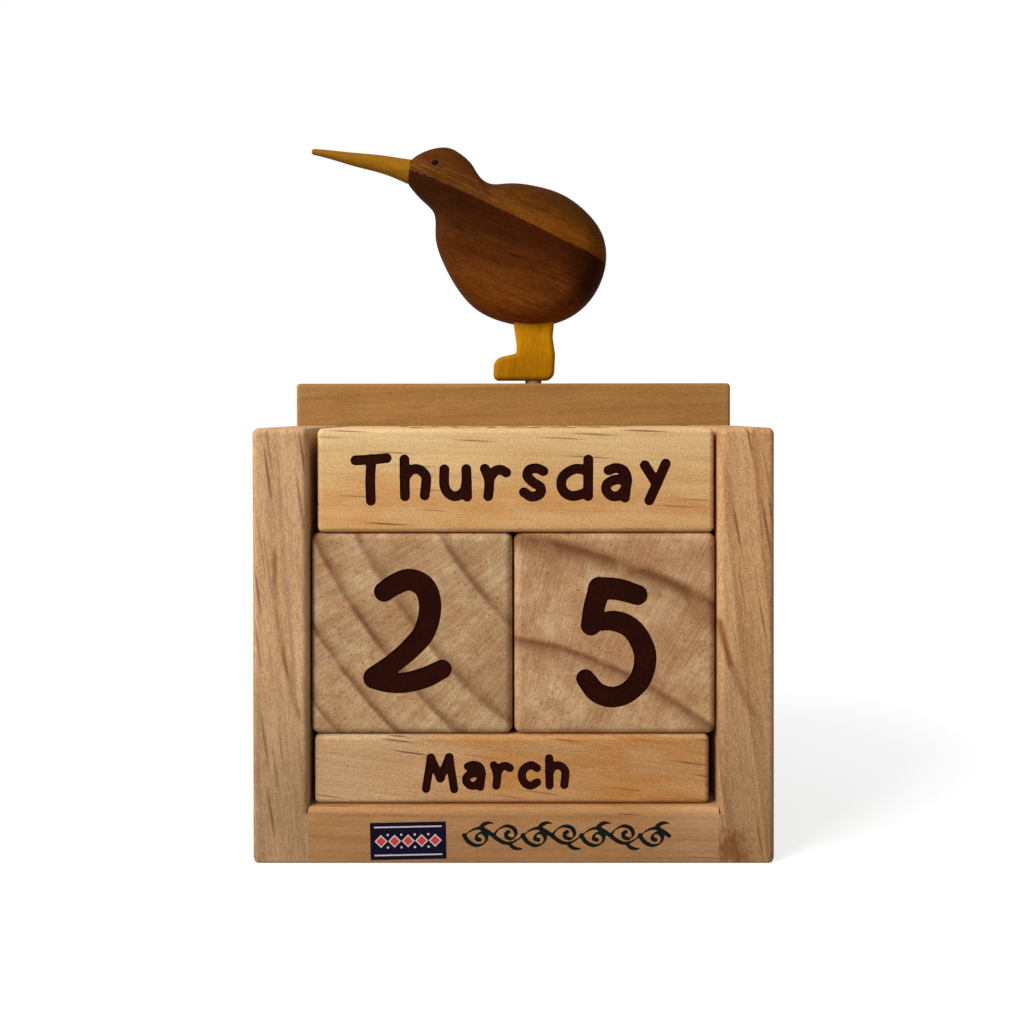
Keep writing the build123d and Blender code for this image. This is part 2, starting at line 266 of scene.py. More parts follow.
# The way through one grid square for each choice of inked corners: from side to side with the ink
# on the left. Sides are bottom, right, top and left; corners count 1, 2, 4 and 8 from bottom left.
WAYS_THROUGH = {
    1: ["BL"], 2: ["RB"], 3: ["RL"], 4: ["TR"], 5: ["BL", "TR"], 6: ["TB"], 7: ["TL"],
    8: ["LT"], 9: ["BT"], 10: ["RB", "LT"], 11: ["RT"], 12: ["LR"], 13: ["BR"], 14: ["LB"],
}


def ink_outlines(field, low, high):
    """The closed outlines of the inked area between two corners, with the ink on their left."""
    across = np.arange(low[0], high[0] + OUTLINE_STEP, OUTLINE_STEP)
    up = np.arange(low[1], high[1] + OUTLINE_STEP, OUTLINE_STEP)
    depth = field(*np.meshgrid(across, up))
    inked = (depth < 0).astype(int)
    choice = inked[:-1, :-1] + 2 * inked[:-1, 1:] + 4 * inked[1:, 1:] + 8 * inked[1:, :-1]

    def crossing(side):
        row, column, upright = side
        start = depth[row, column]
        end = depth[row + upright, column + 1 - upright]
        share = start / (start - end)
        place = (
            across[column] + (0 if upright else share * OUTLINE_STEP),
            up[row] + (share * OUTLINE_STEP if upright else 0),
        )
        return np.round(place, OUTLINE_DECIMALS)

    following = {}
    for row, column in zip(*np.nonzero((choice > 0) & (choice < 15))):
        sides = {
            "B": (row, column, 0), "T": (row + 1, column, 0),
            "L": (row, column, 1), "R": (row, column + 1, 1),
        }
        for way in WAYS_THROUGH[choice[row, column]]:
            following[sides[way[0]]] = sides[way[1]]
    outlines = []
    while following:
        first, side = following.popitem()
        line = [crossing(first)]
        while side != first:
            line.append(crossing(side))
            side = following.pop(side)
        outlines.append(without_straight_points(np.array(line)))
    return outlines


def without_straight_points(line):
    """A closed outline without the points that its neighbours nearly line up on either side of."""
    for _ in range(THINNING_ROUNDS):
        before, after = np.roll(line, 1, 0), np.roll(line, -1, 0)
        span = after - before
        off = np.abs(span[:, 0] * (line - before)[:, 1] - span[:, 1] * (line - before)[:, 0])
        straight = off / np.hypot(*span.T).clip(SAME_POINT) < OUTLINE_SLACK
        straight[::2] = False
        line = line[~straight]
    return line


def cut_up(rectangle, outlines):
    """Triangles that fill a rectangle, cut along the outlines: the points, the triangles off the
    ink and those in it, which an odd number of outlines surrounds."""
    (left, bottom), (right, top) = rectangle
    points = [(left, bottom), (right, bottom), (right, top), (left, top)]
    rims = [(0, 1), (1, 2), (2, 3), (3, 0)]
    rounds = []
    for outline in outlines:
        across, up = outline.T
        leftward = across @ np.roll(up, -1) > up @ np.roll(across, -1)
        numbers = list(range(len(points), len(points) + len(outline)))
        rounds.append(numbers if leftward else numbers[::-1])
        points += [tuple(point) for point in outline]
    places, _, faces, _, _, surrounding = delaunay_2d_cdt(
        [Vector(point) for point in points], rims, rounds, 0, SAME_POINT
    )
    faces = np.array(faces)
    in_ink = np.array([len(found) % 2 == 1 for found in surrounding])
    return np.array(places), faces[~in_ink], faces[in_ink]


# ---- Skins of the pieces ----
class Skin:
    """Gathers the faces of one closed piece. Corners at the same place are shared, and each face
    is turned so that it faces the way its corners' normals do."""

    def __init__(self):
        self.corners = {}
        self.faces = []
        self.normals = []
        self.finishes = []

    def face(self, points, normals, finish=0):
        points = [Vector(point) for point in points]
        outward = sum(normals, Vector())
        if (points[1] - points[0]).cross(points[2] - points[0]).dot(outward) < 0:
            points.reverse()
            normals = normals[::-1]
        numbers = []
        for point in points:
            key = tuple(round(place, CORNER_DECIMALS) for place in point)
            numbers.append(self.corners.setdefault(key, len(self.corners)))
        if len(set(numbers)) == len(numbers):
            self.faces.append(numbers)
            self.normals += normals
            self.finishes.append(finish)

    def piece(self, name, materials):
        """The finished object, in metres."""
        mesh = bpy.data.meshes.new(name)
        mesh.from_pydata([Vector(place) * MM for place in self.corners], [], self.faces)
        for material in materials:
            mesh.materials.append(material)
        mesh.polygons.foreach_set("material_index", self.finishes)
        mesh.polygons.foreach_set("use_smooth", [True] * len(self.faces))
        mesh.normals_split_custom_set(self.normals)
        shown = bpy.data.objects.new(name, mesh)
        bpy.context.scene.collection.objects.link(shown)
        return shown


def quarter_turn(step):
    """How far along two directions at right angles a step of a rounded edge points."""
    angle = math.radians(90) * step / ROUND_STEPS
    return math.cos(angle), math.sin(angle)


def round_the_edges(skin, low, high, edge_round):
    """The rounded edges and corners of a block."""
    inner = (low + Vector([edge_round] * 3), high - Vector([edge_round] * 3))

    def heart(ends):
        return Vector([inner[end][axis] for axis, end in enumerate(ends)])

    def patch(hearts, directions):
        skin.face([h + d * edge_round for h, d in zip(hearts, directions)], directions)

    for axis in range(3):
        one, other = (axis + 1) % 3, (axis + 2) % 3
        for one_end in (0, 1):
            for other_end in (0, 1):
                ends = [0, 0, 0]
                ends[one], ends[other] = one_end, other_end
                start = heart(ends)
                ends[axis] = 1
                finish = heart(ends)
                toward = AXES[one] * (2 * one_end - 1), AXES[other] * (2 * other_end - 1)
                for step in range(ROUND_STEPS):
                    a, b = quarter_turn(step)
                    c, d = quarter_turn(step + 1)
                    now = toward[0] * a + toward[1] * b
                    then = toward[0] * c + toward[1] * d
                    patch([start, finish, finish, start], [now, now, then, then])

    for ends in np.ndindex(2, 2, 2):
        toward = [AXES[axis] * (2 * end - 1) for axis, end in enumerate(ends)]
        rows = []
        for step in range(ROUND_STEPS + 1):
            rise, spread = quarter_turn(step)
            turns = [math.radians(90) * i / max(step, 1) for i in range(step + 1)]
            rows.append([
                toward[2] * rise + (toward[0] * math.cos(t) + toward[1] * math.sin(t)) * spread
                for t in turns
            ])
        for upper, lower in zip(rows, rows[1:]):
            for i in range(len(upper)):
                patch([heart(ends)] * 3, [upper[i], lower[i], lower[i + 1]])
            for i in range(len(upper) - 1):
                patch([heart(ends)] * 3, [upper[i], lower[i + 1], upper[i + 1]])


def drawn_on(half_size, strokes):
    """A rectangle about its middle, cut up along the strokes drawn on it: the outlines, and what
    cut_up gives."""
    field = ink_field(strokes)
    outlines = []
    if strokes:
        rows = np.vstack(strokes)
        reach = rows[:, 2].max() + 2 * OUTLINE_STEP
        outlines = ink_outlines(field, rows[:, :2].min(0) - reach, rows[:, :2].max(0) + reach)
    rectangle = ((-half_size[0], -half_size[1]), tuple(half_size))
    return outlines, *cut_up(rectangle, outlines)


def face_places(middle, right, up):
    """A function that puts a place on a flat face, and a depth behind it, into the frame."""
    outward = right.cross(up)

    def at(place, depth=0.0):
        return middle + right * float(place[0]) + up * float(place[1]) - outward * depth
    return at


def walls(skin, outlines, at, right, up, front, back, side, finish):
    """Upright walls along outlines, from one depth to another; side is 1 where they face the ink
    and -1 where they face away from it."""
    for outline in outlines:
        for start, end in zip(outline, np.roll(outline, -1, 0)):
            run = side * (end - start) / max(np.hypot(*(end - start)), SAME_POINT)
            facing = right * float(-run[1]) + up * float(run[0])
            wall = [at(start, front), at(end, front), at(end, back), at(start, back)]
            skin.face(wall, [facing] * 4, finish)


def burn_face(skin, middle, right, up, half_size, strokes):
    """One flat face of a block, with the strokes burnt into it."""
    outward = right.cross(up)
    at = face_places(middle, right, up)
    outlines, places, plain, burnt = drawn_on(half_size, strokes)
    for triangle in plain:
        skin.face([at(places[i]) for i in triangle], [outward] * 3)
    for triangle in burnt:
        skin.face([at(places[i], BURN_DEPTH) for i in triangle], [outward] * 3, 1)
    walls(skin, outlines, at, right, up, 0.0, BURN_DEPTH, 1, 1)


def written(word, unit, pen, gap, middle, baseline):
    """The strokes of a word, letter by letter with an even gap between them, which is narrower in
    a word that would run out of room."""
    letters = [[flowing(stroke) * unit for stroke in LETTERS[letter]] for letter in word]
    lefts = [min(line[:, 0].min() for line in lines) - pen for lines in letters]
    rights = [max(line[:, 0].max() for line in lines) + pen for lines in letters]
    ink_width = sum(rights) - sum(lefts)
    gaps = max(len(word) - 1, 1)
    gap = min(gap, (WORD_ROOM - ink_width) / gaps)
    strokes = []
    edge = middle - (ink_width + gap * gaps) / 2
    for lines, left, right in zip(letters, lefts, rights):
        shift = (edge - left, baseline)
        strokes += [np.c_[line + shift, np.full(len(line), pen)] for line in lines]
        edge += right - left + gap
    return strokes


# The way to the right and the way up on each face, as it reads once that face is in front.
CUBE_FACES = [
    (X_AXIS, Z_AXIS), (Y_AXIS, Z_AXIS), (-X_AXIS, Z_AXIS), (-Y_AXIS, Z_AXIS), (X_AXIS, Y_AXIS),
    (X_AXIS, -Y_AXIS),
]
BAR_FACES = [(X_AXIS, Z_AXIS), (X_AXIS, Y_AXIS), (X_AXIS, -Z_AXIS), (X_AXIS, -Y_AXIS)]
BAR_ENDS = [(Y_AXIS, Z_AXIS), (-Y_AXIS, Z_AXIS)]


def loose_block(node, edge_round, faces, drawings, materials):
    """A block in place of its plain solid, with its rounded edges and a drawing on each face."""
    low, high = (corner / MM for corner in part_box(node))
    skin = Skin()
    round_the_edges(skin, low, high, edge_round)
    half = (high - low) / 2
    for (right, up), strokes in zip(faces, drawings):
        reach = half.dot(Vector([abs(part) for part in right.cross(up)]))
        across = half.dot(Vector([abs(part) for part in right])) - edge_round
        upward = half.dot(Vector([abs(part) for part in up])) - edge_round
        middle = (low + high) / 2 + right.cross(up) * reach
        burn_face(skin, middle, right, up, (across, upward), strokes)
    block = skin.piece("burnt_" + node, materials)
    block_body = node.replace("number_", "").replace("_bar", "")
    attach(block, block_body)
    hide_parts(node)
    return block


# ---- Building shader trees ----
class Tree:
    """Adds nodes to a shader tree. Each call gives back the new node's output."""

    def __init__(self, tree):
        self.tree = tree

    def add(self, kind, inputs, output=0, **settings):
        node = self.tree.nodes.new(kind)
        for name, value in settings.items():
            setattr(node, name, value)
        for socket, value in inputs.items():
            self.feed(node.inputs[socket], value)
        return node.outputs[output]

    def feed(self, socket, value):
        if isinstance(value, bpy.types.NodeSocket):
            self.tree.links.new(value, socket)
        else:
            socket.default_value = value

    def math(self, operation, *values):
        return self.add("ShaderNodeMath", dict(enumerate(values)), operation=operation)

    def times(self, first, second):
        return self.math("MULTIPLY", first, second)

    def times_plus(self, value, factor, more):
        """A value times a factor, plus more."""
        return self.math("MULTIPLY_ADD", value, factor, more)

    def vector(self, operation, *values, output=0):
        inputs = dict(enumerate(values))
        return self.add("ShaderNodeVectorMath", inputs, output, operation=operation)

    def stretched(self, place, factors):
        """A place with each of its three parts multiplied."""
        return self.vector("MULTIPLY", place, factors)

    def length(self, place):
        return self.vector("LENGTH", place, output=1)

    def place_of(self, *parts):
        """A place from its three parts."""
        return self.add("ShaderNodeCombineXYZ", dict(enumerate(parts)))

    def parts(self, value, kind="ShaderNodeSeparateXYZ"):
        """The three parts of a place or a colour."""
        node = self.tree.nodes.new(kind)
        self.feed(node.inputs[0], value)
        return list(node.outputs)

    def noise(self, place, pace=None, detail=2.0, roughness=0.5):
        """Soft noise. Its pace is how many steps it takes in a millimetre along each axis."""
        if pace:
            place = self.stretched(place, pace)
        inputs = {"Vector": place, "Scale": 1.0, "Detail": detail, "Roughness": roughness}
        return self.add("ShaderNodeTexNoise", inputs)

    def spread(self, value, low, high, to_low=0.0, to_high=1.0):
        """A value's step from low to high, eased at both ends."""
        inputs = {0: value, 1: low, 2: high, 3: to_low, 4: to_high}
        return self.add("ShaderNodeMapRange", inputs, interpolation_type="SMOOTHSTEP")

    def mix(self, share, first, second, blend="MIX"):
        inputs = {0: share, 6: first, 7: second}
        return self.add("ShaderNodeMix", inputs, 2, data_type="RGBA", blend_type=blend)

    def group(self, group, *values):
        """A shader node group, with these values for its first inputs."""
        node = self.tree.nodes.new("ShaderNodeGroup")
        node.node_tree = group
        for socket, value in zip(node.inputs, values):
            self.feed(socket, value)
        return node.outputs[0]

    def shader(self, **inputs):
        """The Principled shader at the end of a material."""
        ends = {name.replace("_", " "): value for name, value in inputs.items()}
        output = self.tree.nodes.new("ShaderNodeOutputMaterial")
        self.feed(output.inputs["Surface"], self.add("ShaderNodeBsdfPrincipled", ends))

    def surface(self, colour, texture, roughness, shine, relief, relief_depth):
        """The end of a material whose roughness goes between two values with a texture, and whose
        relief is up to a depth in millimetres."""
        inputs = {"Height": relief, "Distance": relief_depth * MM, "Strength": 1.0}
        self.shader(
            Base_Color=colour, Roughness=self.spread(texture, 0.0, 1.0, *roughness),
            Specular_IOR_Level=shine, Normal=self.add("ShaderNodeBump", inputs),
        )


NOWHERE, BLACK = (0.0, 0.0, 0.0), (0.0, 0.0, 0.0, 1.0)
# The kind of socket for a value of one, three or four numbers.
SOCKET_KINDS = {1: "NodeSocketFloat", 3: "NodeSocketVector", 4: "NodeSocketColor"}


def node_group(name, output, output_kind="NodeSocketFloat", **inputs):
    """Turns a function into a shader node group with named inputs and one named output. The
    function gets the tree and the inputs, and gives back the output's value."""
    def made_with(build):
        group = bpy.data.node_groups.new(name, "ShaderNodeTree")
        labels = [word.replace("_", " ").capitalize() for word in inputs]
        for label, value in zip(labels, inputs.values()):
            kind = SOCKET_KINDS[np.size(value)]
            socket = group.interface.new_socket(label, in_out="INPUT", socket_type=kind)
            socket.default_value = value
        group.interface.new_socket(output, in_out="OUTPUT", socket_type=output_kind)
        tree = Tree(group)
        entry = group.nodes.new("NodeGroupInput")
        leave = group.nodes.new("NodeGroupOutput")
        result = build(tree, *[entry.outputs[label] for label in labels])
        tree.feed(leave.inputs[output], result)
        return group
    return made_with


def paint(red, green, blue):
    """A colour from its 0 to 255 steps on a screen."""
    shares = [step / 255 for step in (red, green, blue)]
    return [s / 12.92 if s <= 0.04045 else ((s + 0.055) / 1.055) ** 2.4 for s in shares] + [1.0]


# ---- Effects that the materials share ----
# Places are in millimetres. In growing wood Z is along the grain and the tree's heart is at zero.
# A band is the values between which something comes in, and then its own least and most.
BUNCHING_PACE = 0.4
PATCH_PACE = (0.16, 0.16, 0.03)
NOISE_MIDDLE = 0.5
NOISE_BAND = (0.34, 0.66)
FIBRE_BAND = (0.36, 0.62)
BUNCH_BAND = (0.35, 0.47)
STAIN_BAND = (0.4, 1.3)
LINE_PATCHES, STREAK_PATCHES = (0.36, 0.56, 0.65, 1.0), (0.35, 0.55, 0.5, 1.0)
MOTTLE_HALF_BAND = 0.17
ACROSS_GRAIN, SHORT_ALONG_GRAIN = (1, 1, 0), (1, 1, 0.3)
LATE_WOOD_END = 0.92
# A late wood line rises softly and then crisply, and falls within a share of its softness.
SOFT_POWER, CRISP_POWER, SOFT_SHARE, FALL_SHARE = 2.0, 10.0, 0.6, 0.26
FINE_FIBRE_SHARE = 0.6
# The least reach of a fleck and what chance adds, in shares of its size, and its solid core.
FLECK_LEAST, FLECK_MORE, FLECK_CORE = 0.5, 0.8, 0.3
STAIN_RAGGEDNESS = 0.5
STREAK_TAPER = 0.08
SWEEP_DRIFT = 0.3


def swung(tree, middle, noise, reach):
    """A middle value that noise moves by up to a reach to either side."""
    swing = tree.math("SUBTRACT", noise, NOISE_MIDDLE)
    return tree.times_plus(swing, tree.times(reach, 2.0), middle)


def half_to_full(tree, value):
    return tree.times_plus(value, 0.5, 0.5)


def sized(tree, place, size):
    return tree.vector("DIVIDE", place, tree.place_of(size, size, size))


def from_heart(tree, place, waver):
    """How far a place is from the tree's heart, with rings that waver slowly."""
    drift = tree.noise(place, pace=(0.05, 0.05, 0.005))
    return swung(tree, tree.length(tree.stretched(place, ACROSS_GRAIN)), drift, waver)


@node_group(
    "growth_rings", "Late wood", place=NOWHERE, ring_width=8.0, waver=2.0, unevenness=0.4,
    crispness=4.0,
)
def growth_rings(tree, place, ring_width, waver, unevenness, crispness):
    count = tree.math("DIVIDE", from_heart(tree, place, waver), ring_width)
    inputs = {"W": count, "Scale": BUNCHING_PACE, "Detail": 1.0}
    bunching = tree.add("ShaderNodeTexNoise", inputs, noise_dimensions="1D")
    count = swung(tree, count, bunching, unevenness)
    number = tree.math("FLOOR", count)
    tone = tree.add("ShaderNodeTexWhiteNoise", {"W": number}, noise_dimensions="1D")
    across = tree.math("FRACT", count)
    end = tree.spread(across, LATE_WOOD_END, 1.0, 1.0, 0.0)
    late_wood = tree.times(tree.math("POWER", across, crispness), end)
    return tree.times(late_wood, half_to_full(tree, tone))


@node_group(
    "late_wood_line", "Late wood", place=NOWHERE, radius=100.0, softness=3.0, waver=1.0
)
def late_wood_line(tree, place, radius, softness, waver):
    past = tree.math("SUBTRACT", from_heart(tree, place, waver), radius)
    rise = tree.spread(past, tree.times(softness, -1.0), 0.0)
    crisp = tree.times(tree.math("POWER", rise, CRISP_POWER), 1 - SOFT_SHARE)
    rise = tree.times_plus(tree.math("POWER", rise, SOFT_POWER), SOFT_SHARE, crisp)
    fall = tree.spread(past, 0.0, tree.times(softness, FALL_SHARE), 1.0, 0.0)
    patches = tree.noise(place, PATCH_PACE, detail=1.0)
    return tree.times(tree.times(rise, fall), tree.spread(patches, *LINE_PATCHES))


@node_group("wood_rays", "Ray", place=NOWHERE)
def wood_rays(tree, place):
    across, deep, along = tree.parts(place)
    angle = tree.math("ARCTAN2", deep, across)
    radius = tree.length(tree.stretched(place, ACROSS_GRAIN))
    turned = tree.place_of(angle, radius, along)
    rays = tree.noise(turned, pace=(260.0, 0.12, 0.2), roughness=0.6)
    return tree.spread(rays, *NOISE_BAND)


@node_group("wood_fibre", "Fibre", place=NOWHERE, coarseness=1.0)
def wood_fibre(tree, place, coarseness):
    place = sized(tree, place, coarseness)
    fine = tree.noise(place, pace=(2.8, 2.8, 0.7), detail=3.0, roughness=0.65)
    broad = tree.noise(place, pace=(1.1, 1.1, 0.06))
    both = tree.times_plus(fine, FINE_FIBRE_SHARE, tree.times(broad, 1 - FINE_FIBRE_SHARE))
    return tree.spread(both, *FIBRE_BAND)


@node_group("wood_pores", "Pore", place=NOWHERE)
def wood_pores(tree, place):
    pores = tree.noise(place, pace=(3.4, 3.4, 2.4), detail=1.0, roughness=0.7)
    return tree.spread(pores, *NOISE_BAND)


@node_group(
    "resin_flecks", "Fleck", place=NOWHERE, spacing=1.2, slenderness=22.0, size=0.15, share=0.5
)
def resin_flecks(tree, place, spacing, slenderness, size, share):
    cell = tree.place_of(spacing, spacing, tree.times(spacing, slenderness))
    node = tree.tree.nodes.new("ShaderNodeTexVoronoi")
    node.inputs["Scale"].default_value = 1.0
    tree.feed(node.inputs["Vector"], tree.vector("DIVIDE", place, cell))
    chance, own_size, own_depth = tree.parts(node.outputs["Color"], "ShaderNodeSeparateColor")
    chosen = tree.math("LESS_THAN", chance, share)
    reach = tree.times(size, tree.times_plus(own_size, FLECK_MORE, FLECK_LEAST))
    core = tree.times(reach, FLECK_CORE)
    fleck = tree.times(tree.spread(node.outputs["Distance"], core, reach, 1.0, 0.0), chosen)
    bunches = tree.noise(place, PATCH_PACE, detail=1.0)
    depth = tree.times(half_to_full(tree, own_depth), tree.spread(bunches, *BUNCH_BAND))
    return tree.times(fleck, depth)


@node_group("mottle", "Mottle", place=NOWHERE, size=6.0, sharpness=1.0)
def mottle(tree, place, size, sharpness):
    noise = tree.noise(sized(tree, place, size), detail=3.0, roughness=0.6)
    half_band = tree.math("DIVIDE", MOTTLE_HALF_BAND, sharpness)
    band = [tree.times_plus(half_band, side, NOISE_MIDDLE) for side in (-1.0, 1.0)]
    return tree.spread(noise, *band)


@node_group("shaded", "Colour", "NodeSocketColor", colour=BLACK, texture=1.0, depth=0.2)
def shaded(tree, colour, texture, depth):
    """Darkens a colour by up to a depth where a texture is low."""
    least = tree.math("SUBTRACT", 1.0, depth)
    shade = tree.spread(texture, 0.0, 1.0, least, tree.times_plus(depth, 1 / 3, 1.0))
    grey = tree.add("ShaderNodeCombineColor", dict.fromkeys(range(3), shade))
    return tree.mix(1.0, colour, grey, "MULTIPLY")


@node_group("sweep", "Sweep", place=NOWHERE, drift=0.0, direction=X_AXIS, start=0.0, end=1.0)
def swept(tree, place, drift, direction, start, end):
    """How far a place is between two others along a direction, with a drifting border."""
    along = tree.vector("DOT_PRODUCT", place, direction, output=1)
    reach = tree.times(tree.math("SUBTRACT", end, start), SWEEP_DRIFT)
    return tree.spread(tree.times_plus(drift, reach, along), start, end)


@node_group("stain", "Stain", place=NOWHERE, ragged=0.0, centre=NOWHERE, reach=(1, 1, 1), depth=1.0)
def stained(tree, place, ragged, centre, reach, depth):
    """A soft stain round a centre, with its depth there."""
    away = tree.length(tree.vector("DIVIDE", tree.vector("SUBTRACT", place, centre), reach))
    away = tree.times_plus(ragged, STAIN_RAGGEDNESS, away)
    return tree.spread(away, *STAIN_BAND, depth, 0.0)


@node_group(
    "streak", "Line", place=NOWHERE, from_across=0.0, from_height=1.0, to_across=0.0,
    to_height=0.0, bend=0.0, width=1.0,
)
def streaked(tree, place, from_across, from_height, to_across, to_height, bend, width):
    """A soft line from one place to another, as seen from the front, that bends on its way."""
    across, _, height = tree.parts(place)
    share = tree.add("ShaderNodeMapRange", {0: height, 1: from_height, 2: to_height})
    rest = tree.math("SUBTRACT", 1.0, share)
    path = tree.times_plus(rest, bend, tree.math("SUBTRACT", to_across, from_across))
    path = tree.times_plus(share, path, from_across)
    away = tree.math("ABSOLUTE", tree.math("SUBTRACT", across, path))
    ends = tree.spread(tree.times(share, rest), 0.0, STREAK_TAPER)
    line = tree.times(tree.spread(away, 0.0, width, 1.0, 0.0), ends)
    patches = tree.noise(place, pace=(0.3, 0.3, 0.12), detail=1.0)
    return tree.times(line, tree.spread(patches, *STREAK_PATCHES))


# ---- Materials ----
def wood_place(tree, grain=Z_AXIS, heart=(0, 0, 0)):
    """Places in the tree that a piece came from: along its grain, from its heart. Without these
    they are places in the frame."""
    turn = Vector(grain).rotation_difference(Z_AXIS)
    inputs = {
        "Vector": tree.add("ShaderNodeTexCoord", {}, "Object"),
        "Scale": (1 / MM,) * 3,
        "Rotation": turn.to_euler(),
        "Location": -(turn @ Vector(heart)),
    }
    return tree.add("ShaderNodeMapping", inputs)


def leaning(degrees):
    """An upright direction that leans to the right by an angle, as seen from the front."""
    return Vector((math.sin(math.radians(degrees)), 0, math.cos(math.radians(degrees))))


def new_material(name):
    material = bpy.data.materials.new(name)
    material.use_nodes = True
    material.node_tree.nodes.clear()
    return material, Tree(material.node_tree)


RESIN_BROWN = paint(100, 53, 24)
RING_LINE_WAVER = 0.8
PALE_ASIDE, PALE_SHARPNESS = (40, 40, 40), 1.6
STAIN_RAG_SIZE = 2.5
PINE_ROUGHNESS, PINE_RELIEF = (0.52, 0.68), 0.02
RING_RELIEF, FIBRE_RELIEF, PORE_RELIEF, FLECK_RELIEF = 0.6, 0.5, 0.4, -0.5


def pine(
    name, grain, heart, tones, rings=(5.0, 2.0, 0.3, 4.0), ring_depth=0.4, ring_lines=(),
    blotch_size=9.0, blotch_depth=0.45, pale_size=5.0, pale_depth=0.3, fibre_depth=0.14,
    pore_depth=0.14, ray_depth=0.0, flecks=(1.2, 20.0, 0.2, 0.8), fleck_grain=None,
    fleck_depth=0.8, sweep=None, painted_shade_low=None, stain=None, streak=None, shine=0.15,
):
    """Sanded pine under a thin matt lacquer, with growth rings, soft blotches, fibre, pores and
    resin flecks. Tones are its early wood, late wood, blotches and palest parts. Rings are given
    by their width, waver, unevenness and crispness, or each by its radius, softness and depth.
    Flecks are given by their spacing, slenderness, size and share. A sweep takes the wood to
    another tone between two places along a direction, and painted shade darkens it below one
    height, easing to a little painted light above another."""
    material, tree = new_material(name)
    early, late, blotch, pale = (paint(*tone) for tone in tones)
    place = wood_place(tree, grain, heart)
    in_frame = wood_place(tree)
    if ring_lines:
        ring = 0.0
        for radius, softness, depth in ring_lines:
            line = tree.group(late_wood_line, place, radius, softness, RING_LINE_WAVER)
            ring = tree.math("MAXIMUM", ring, tree.times(line, depth))
    else:
        ring = tree.times(tree.group(growth_rings, place, *rings), ring_depth)
    fibre = tree.group(wood_fibre, place)
    pores = tree.group(wood_pores, place)
    long_place = tree.stretched(place, SHORT_ALONG_GRAIN)
    warm = tree.group(mottle, long_place, blotch_size)
    aside = tree.vector("ADD", long_place, PALE_ASIDE)
    light = tree.group(mottle, aside, pale_size, PALE_SHARPNESS)
    fleck = tree.group(resin_flecks, wood_place(tree, fleck_grain or grain), *flecks)
    if sweep:
        *course, tone = sweep
        early = tree.mix(tree.group(swept, in_frame, warm, *course), early, paint(*tone))
    colour = tree.mix(tree.times(light, pale_depth), early, pale)
    colour = tree.mix(tree.times(warm, blotch_depth), colour, blotch)
    colour = tree.mix(ring, colour, late)
    if stain:
        ragged = tree.group(mottle, in_frame, STAIN_RAG_SIZE)
        colour = tree.mix(tree.group(stained, in_frame, ragged, *stain), colour, late)
    if streak:
        colour = tree.mix(tree.group(streaked, in_frame, *streak), colour, late)
    # Painted shade: darker towards the bottom and a little lighter towards the top, as the light
    # falls.
    if painted_shade_low:
        low, high, low_shade_depth = painted_shade_low
        height = tree.spread(tree.parts(in_frame)[2], low, high)
        colour = tree.group(shaded, colour, height, low_shade_depth)
    if ray_depth:
        colour = tree.group(shaded, colour, tree.group(wood_rays, place), ray_depth)
    colour = tree.group(shaded, colour, fibre, fibre_depth)
    colour = tree.group(shaded, colour, pores, pore_depth)
    colour = tree.mix(tree.times(fleck, fleck_depth), colour, RESIN_BROWN)
    relief = tree.times_plus(ring, RING_RELIEF, tree.times(fibre, FIBRE_RELIEF))
    relief = tree.times_plus(pores, PORE_RELIEF, relief)
    relief = tree.times_plus(fleck, FLECK_RELIEF, relief)
    tree.surface(colour, fibre, PINE_ROUGHNESS, shine, relief, PINE_RELIEF)
    return material


BURNT_TONES = [(34, 9, 5), (48, 17, 9), (30, 7, 3)]
CHAR_SIZE, SCORCH_SIZE, SCORCH_DEPTH = 0.7, 6.0, 0.5
BEAM_LINES, BEAM_DEPTH = 30.0, 0.3
BURNT_ROUGHNESS, BURNT_SHINE, BURNT_RELIEF = (0.75, 0.95), 0.03, 0.03


def burnt_wood():
    """Wood burnt dark by a narrow beam, with the faint lines it leaves."""
    material, tree = new_material("burnt_wood")
    dark, brown, black = (paint(*tone) for tone in BURNT_TONES)
    place = wood_place(tree)
    char = tree.group(mottle, place, CHAR_SIZE)
    scorch = tree.times(tree.group(mottle, place, SCORCH_SIZE), SCORCH_DEPTH)
    colour = tree.mix(scorch, tree.mix(char, dark, brown), black)
    lines = tree.math("SINE", tree.times(tree.parts(place)[2], BEAM_LINES))
    relief = tree.times_plus(lines, BEAM_DEPTH, char)
    tree.surface(colour, char, BURNT_ROUGHNESS, BURNT_SHINE, relief, BURNT_RELIEF)
    return material


# The kiwi's golden edge ends at a slanting line. Its bands are in millimetres up from that line or
# along it, those of the tail and the painted side shading are across the frame, and the neck's
# lines are noise.
KIWI_LINE_SLOPE = -25.7
KIWI_LINE_PLACE = (6.2, 22.0, 133.9)
KIWI_LINE_WAVER = 0.25
KIWI_BELLY_GRAIN = 112
KIWI_TONES = {
    "gold": (124, 69, 11), "back": (84, 46, 11), "head": (82, 43, 10), "streak": (68, 34, 8),
    "neck": (130, 82, 36), "belly": (74, 33, 6), "cloud": (92, 46, 12),
    "underside": (110, 57, 14), "under line": (60, 24, 3), "tail": (36, 12, 2),
    "fleck": (40, 12, 3),
}
KIWI_BANDS = {
    "line": (-0.25, 0.25), "back": (1.0, 8.0), "head": (-18.0, -5.0, 0.8, 0.0),
    "neck": (-12.0, 6.0, 0.36, 0.0), "neck height": (2.0, 5.0, 1.0, 0.0), "neck line": (0.48, 0.6),
    "underside": (-20.0, -8.0, 1.0, 0.0), "under line": (-10.0, -1.0),
    "tail": (10.0, 17.0, 0.0, 0.7), "tail height": (-13.0, -7.0), "painted side shading": (-24.0, 6.0),
}
KIWI_FIBRE, KIWI_STREAKS, KIWI_BELLY_FIBRE = 0.8, 2.0, 2.2
